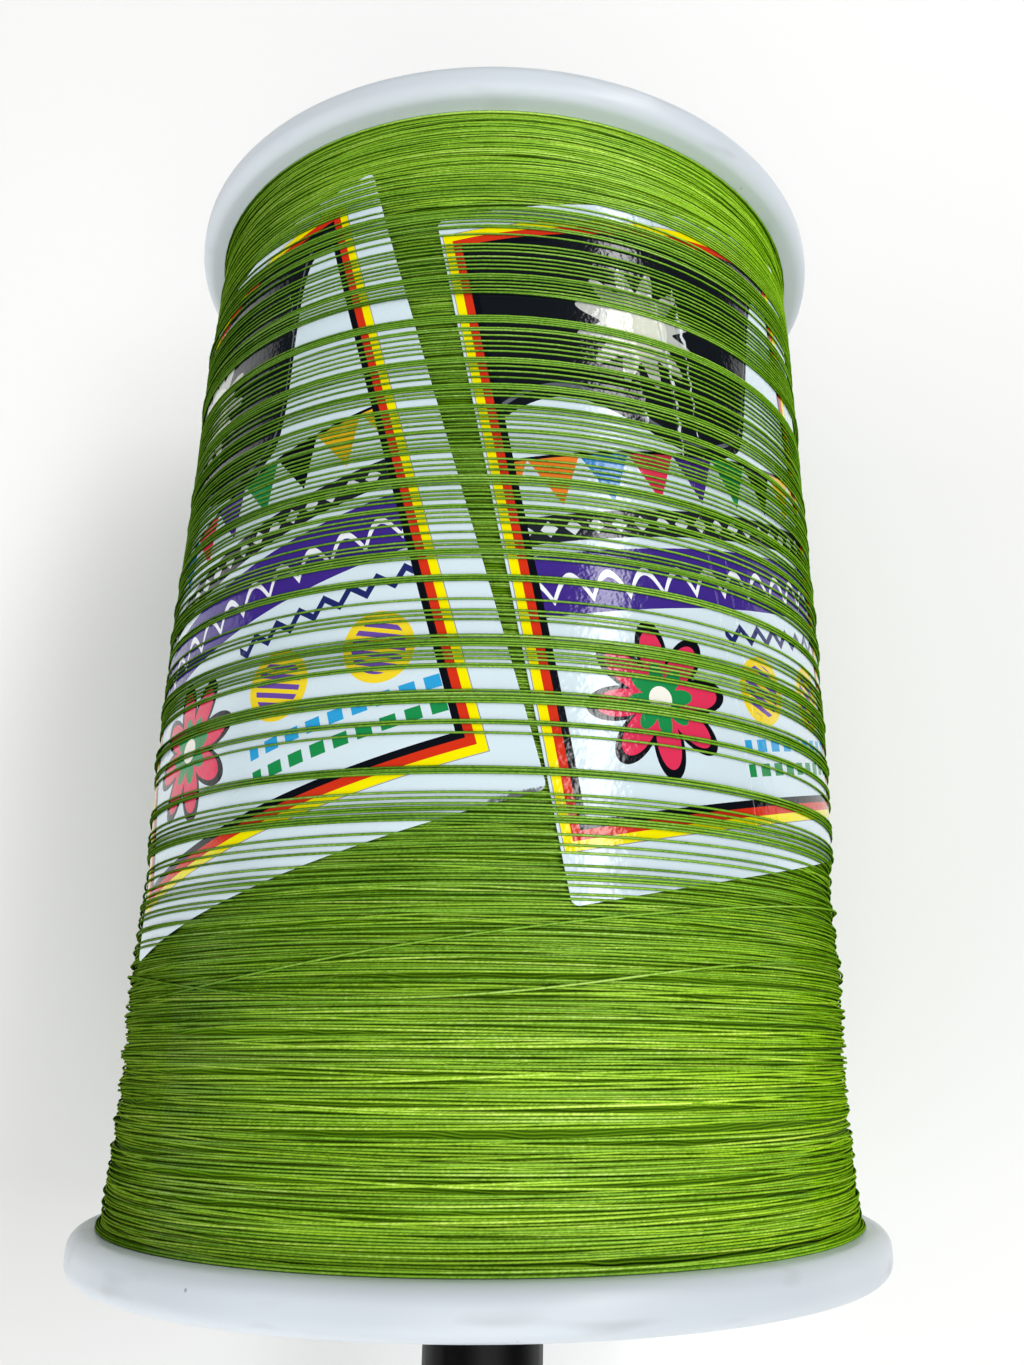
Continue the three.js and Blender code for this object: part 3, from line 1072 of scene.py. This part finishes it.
def balls(add, place, u, v):
    """Two yellow balls with purple stripes, 2.2 mm apart along v + u / 2."""
    slope = add("Math MULTIPLY_ADD", [u, 0.5, v])
    stripe = add("Math FLOORED_MODULO", [slope, 2.2])
    stripe = add("Math LESS_THAN", [stripe, 1.2])
    layers = []
    for centre in ((55.0, 37.0, 0.0), (78.0, 36.0, 0.0)):
        far = add("VectorMath DISTANCE", [place, centre])
        core = add("Math LESS_THAN", [far, 5.6])
        core = add("Math MULTIPLY", [core, stripe])
        layers.append((add("Math LESS_THAN", [far, 7.4]), linear("efd42c")))
        layers.append((core, linear("6a4ba3")))
    return layers


# ---- Settings -------------------------------------------------------------------------------


def length_setting(name, description, millimetres):
    """A length that a user may change."""
    return FloatProperty(
        name=name, description=description, default=millimetres * MM, unit="LENGTH"
    )


def colour_setting(name, description, colour):
    """A colour that a user may change, from its sRGB hex value."""
    return FloatVectorProperty(
        name=name, description=description, default=linear(colour), size=4, subtype="COLOR"
    )


class ReelThread(bpy.types.PropertyGroup):
    """Settings of the thread and its winding."""

    thickness: length_setting("Thickness", "Diameter of the thread", 0.5)
    depth: length_setting("Depth", "How far the outer turns reach down to the hidden ones", 1.15)
    seed: IntProperty(name="Seed", description="Changes how unevenly the turns lie", default=7)
    colour: colour_setting("Colour", "Dye of the thread", "b8ec38")


class ReelLabels(bpy.types.PropertyGroup):
    """Settings of the two labels."""

    thickness: length_setting("Card", "Thickness of the card", 0.3)
    card: colour_setting("Card colour", "Bare card under the film", "d1e2e9")


class ReelPlastics(bpy.types.PropertyGroup):
    """Settings of the flanges and the handle."""

    flange: colour_setting("Flange colour", "Plastic of the two flanges", "cfd7de")
    handle: colour_setting("Handle colour", "Plastic of the handle", "0c0c0d")


class ReelStage(bpy.types.PropertyGroup):
    """Settings of the floor and the lights."""

    floor: colour_setting("Floor colour", "Colour of the plain floor", "f6f6f5")
    key: FloatProperty(
        name="Softboxes", description="Power that the softboxes share", default=12.0, unit="POWER"
    )
    sky: FloatProperty(name="Fill", description="Strength of the even light", default=0.26)


def thread_settings(scene):
    """Thickness, depth and seed as the laying functions take them, in millimetres."""
    settings = scene.reel_thread
    return round(settings.thickness / MM, 4), round(settings.depth / MM, 4), settings.seed


# ---- Operators ------------------------------------------------------------------------------


class REEL_OT_stage(bpy.types.Operator):
    """Makes the floor, the lights and the camera"""

    bl_idname = "reel.stage"
    bl_label = "Stage"

    def execute(self, context):
        settings = context.scene.reel_stage
        context.scene.view_settings.view_transform = "Standard"
        make_floor(settings.floor)
        key, _, left = [
            make_light(name, share * settings.key, *rest) for name, share, *rest in SOFTBOXES
        ]
        fade_sides(key.data)
        left.visible_glossy = False
        make_sky(settings.sky)
        make_camera()
        return {"FINISHED"}


class REEL_OT_flanges(bpy.types.Operator):
    """Makes the two moulded white flanges"""

    bl_idname = "reel.flanges"
    bl_label = "Flanges"

    def execute(self, context):
        plastic = moulded_white_plastic(context.scene.reel_plastics.flange)
        for node, box in (("flange_near", NEAR_FLANGE), ("flange_far", FAR_FLANGE)):
            profile = flange_profile(box[0, 1])
            piece = turned_piece(node + "_disc", profile, node, floor=0.0)
            piece.data.materials.append(plastic)
        return {"FINISHED"}


class REEL_OT_handle(bpy.types.Operator):
    """Makes the moulded black handle"""

    bl_idname = "reel.handle"
    bl_label = "Handle"

    def execute(self, context):
        piece = turned_piece("handle_grip", handle_profile(), "handle")
        piece.data.materials.append(moulded_black_plastic(context.scene.reel_plastics.handle))
        return {"FINISHED"}


class REEL_OT_winding(bpy.types.Operator):
    """Makes the hidden core of the winding and the turns under the labels"""

    bl_idname = "reel.winding"
    bl_label = "Winding"

    def execute(self, context):
        thickness, depth, seed = thread_settings(context.scene)
        colour = context.scene.reel_thread.colour
        core_piece(depth).data.materials.append(deep_cotton_thread(colour))
        places, radii, _ = body_turns(thickness, depth, seed)
        cotton = dyed_cotton_thread("dyed_cotton_thread", colour, BODY_FLANK)
        for piece in thread_pieces("body_turns", places, radii, thickness):
            piece.data.materials.append(cotton)
        return {"FINISHED"}


class REEL_OT_labels(bpy.types.Operator):
    """Makes the two laminated labels on the winding"""

    bl_idname = "reel.labels"
    bl_label = "Labels"

    def execute(self, context):
        settings = context.scene.reel_labels
        bed = label_bed(*thread_settings(context.scene))
        laminate = laminated_print(settings.card)
        for node in LABELS:
            piece = label_piece(node, settings.thickness / MM, bed)
            piece.data.materials.append(laminate)
        return {"FINISHED"}


class REEL_OT_last_turns(bpy.types.Operator):
    """Makes the last turns of thread, over the labels"""

    bl_idname = "reel.last_turns"
    bl_label = "Last turns"

    def execute(self, context):
        thickness, depth, seed = thread_settings(context.scene)
        card = round(context.scene.reel_labels.thickness / MM, 4)
        places, radii = last_turns(thickness, depth, seed, card)
        # the last turns take a darker copy of the thread's material, as painted shade
        colour = tinted(context.scene.reel_thread.colour, LAST_PAINTED_SHADE)
        cotton = dyed_cotton_thread("dyed_cotton_thread_last_turns_painted_shade", colour, LAST_FLANK)
        for piece in thread_pieces("last_turns", places, radii, thickness):
            piece.data.materials.append(cotton)
        return {"FINISHED"}


OPERATORS = (
    REEL_OT_stage,
    REEL_OT_flanges,
    REEL_OT_handle,
    REEL_OT_winding,
    REEL_OT_labels,
    REEL_OT_last_turns,
)


class REEL_PT_panel(bpy.types.Panel):
    """Lists the settings and the steps that build the reel"""

    bl_idname = "REEL_PT_panel"
    bl_label = "Kite String Reel"
    bl_space_type = "VIEW_3D"
    bl_region_type = "UI"
    bl_category = "Reel"

    def draw(self, context):
        for name, group in SETTINGS.items():
            for prop in group.__annotations__:
                self.layout.prop(getattr(context.scene, name), prop)
        for operator in OPERATORS:
            self.layout.operator(operator.bl_idname)


SETTINGS = {
    "reel_thread": ReelThread,
    "reel_labels": ReelLabels,
    "reel_plastics": ReelPlastics,
    "reel_stage": ReelStage,
}


# ---- Stage ----------------------------------------------------------------------------------


MIDDLE_Y = (WINDING_Y + WINDING_LENGTH / 2) * MM
SOFTBOXES = (
    # name, share of the power, width and length, place, place on the axis that it faces, turn
    ("key_softbox", 3.0, (0.5, 2.4), (0.87, 0.95, 1.2), 0.95, -14),
    ("top_softbox", 1.5, (1.2, 2.5), (0.1, -1.1, 1.25), MIDDLE_Y, 0),
    ("left_softbox", 0.85, (0.8, 1.8), (-1.25, -0.5, 0.8), MIDDLE_Y, 0),
)
CAMERA_PLACE = (0, -0.0341, 0.3788)
CAMERA_TURNS = (0.0472, 0.37, 0.0063)  # yaw, pitch and roll
CAMERA_LENS = 30.53
CAMERA_SHIFT = (-0.0286, -0.0544)


def make_floor(colour):
    """A plain pale floor, 6 m square, in matt paint."""
    mesh = bpy.data.meshes.new("floor")
    corners = [(-3.0, -3.0, 0.0), (3.0, -3.0, 0.0), (3.0, 3.0, 0.0), (-3.0, 3.0, 0.0)]
    mesh.from_pydata(corners, [], [(0, 1, 2, 3)])
    material, add = new_material("matt_paint")
    cloud = add("TexNoise", {"Vector": add("TexCoord").outputs["Object"], "Scale": 3.0})
    rough = add("MapRange", [cloud, 0.0, 1.0, 0.85, 0.95])
    surface = {"Base Color": colour, "Roughness": rough, "Specular IOR Level": 0.2}
    add("OutputMaterial", [add("BsdfPrincipled", surface)])
    mesh.materials.append(material)
    put("floor", mesh)


def make_light(name, power, size, place, aim_y, turn):
    """A soft rectangle of light that faces a place on the reel's axis.

    Its long side lies in the plane of the axis, but for a turn in degrees about its middle.
    """
    light = bpy.data.lights.new(name, "AREA")
    light.shape = "RECTANGLE"
    light.size, light.size_y = size
    light.energy = power
    lamp = put(name, light)
    back = (Vector(place) - Vector((0, aim_y, AXIS_HEIGHT * MM))).normalized()
    side = Vector((0, 1, 0)).cross(back).normalized()
    turned = Matrix((side, back.cross(side), back)).transposed().to_4x4()
    turned = turned @ Matrix.Rotation(math.radians(turn), 4, "Z")
    lamp.matrix_world = Matrix.Translation(place) @ turned
    return lamp


def fade_sides(light):
    """Lets a softbox glow most along its middle line and fade smoothly to both long sides."""
    light.use_nodes = True
    add = node_adder(light.node_tree)
    parts = add("SeparateXYZ", [add("NewGeometry").outputs["Parametric"]])
    across = add("Math SUBTRACT", [parts.outputs[0], 0.5])
    across = add("Math ABSOLUTE", [across])
    fade = add("MapRange", [across, 0.0, 0.5, 1.0, 0.0], interpolation_type="SMOOTHSTEP")
    add("OutputLight", [add("Emission", {"Strength": fade})])


def make_sky(strength):
    """Even white light from all round."""
    world = bpy.data.worlds.new("even_light")
    bpy.context.scene.world = world
    world.use_nodes = True
    world.cycles_visibility.glossy = False
    add = node_adder(world.node_tree)
    add("OutputWorld", [add("Background", {"Color": (1, 1, 1, 1), "Strength": strength})])


def make_camera():
    """A camera over the near flange that looks down and along the reel.

    Its yaw, pitch and roll turn it from looking straight down with +Y upwards.
    """
    yaw, pitch, roll = CAMERA_TURNS
    data = bpy.data.cameras.new("camera")
    data.lens = CAMERA_LENS
    data.shift_x, data.shift_y = CAMERA_SHIFT
    camera = put("camera", data)
    forward = Vector(
        (math.sin(yaw) * math.cos(pitch), math.sin(pitch), -math.cos(yaw) * math.cos(pitch))
    )
    right = Vector((math.cos(yaw), 0, math.sin(yaw)))
    up = right.cross(forward)
    side = math.cos(roll) * right + math.sin(roll) * up
    top = math.cos(roll) * up - math.sin(roll) * right
    turned = Matrix((side, top, -forward)).transposed().to_4x4()
    camera.matrix_world = Matrix.Translation(CAMERA_PLACE) @ turned
    bpy.context.scene.camera = camera


# ---- Running --------------------------------------------------------------------------------


def register():
    """Adds the settings, the operators and the panel to Blender."""
    for item in (*SETTINGS.values(), *OPERATORS, REEL_PT_panel):
        bpy.utils.register_class(item)
    for name, group in SETTINGS.items():
        setattr(bpy.types.Scene, name, PointerProperty(type=group))


def unregister():
    """Takes away what register added."""
    for name in SETTINGS:
        delattr(bpy.types.Scene, name)
    for item in reversed((*SETTINGS.values(), *OPERATORS, REEL_PT_panel)):
        bpy.utils.unregister_class(item)


def main():
    """Builds the whole reel."""
    register()
    for operator in OPERATORS:
        group, name = operator.bl_idname.split(".")
        getattr(getattr(bpy.ops, group), name)()


if __name__ == "__main__":
    main()
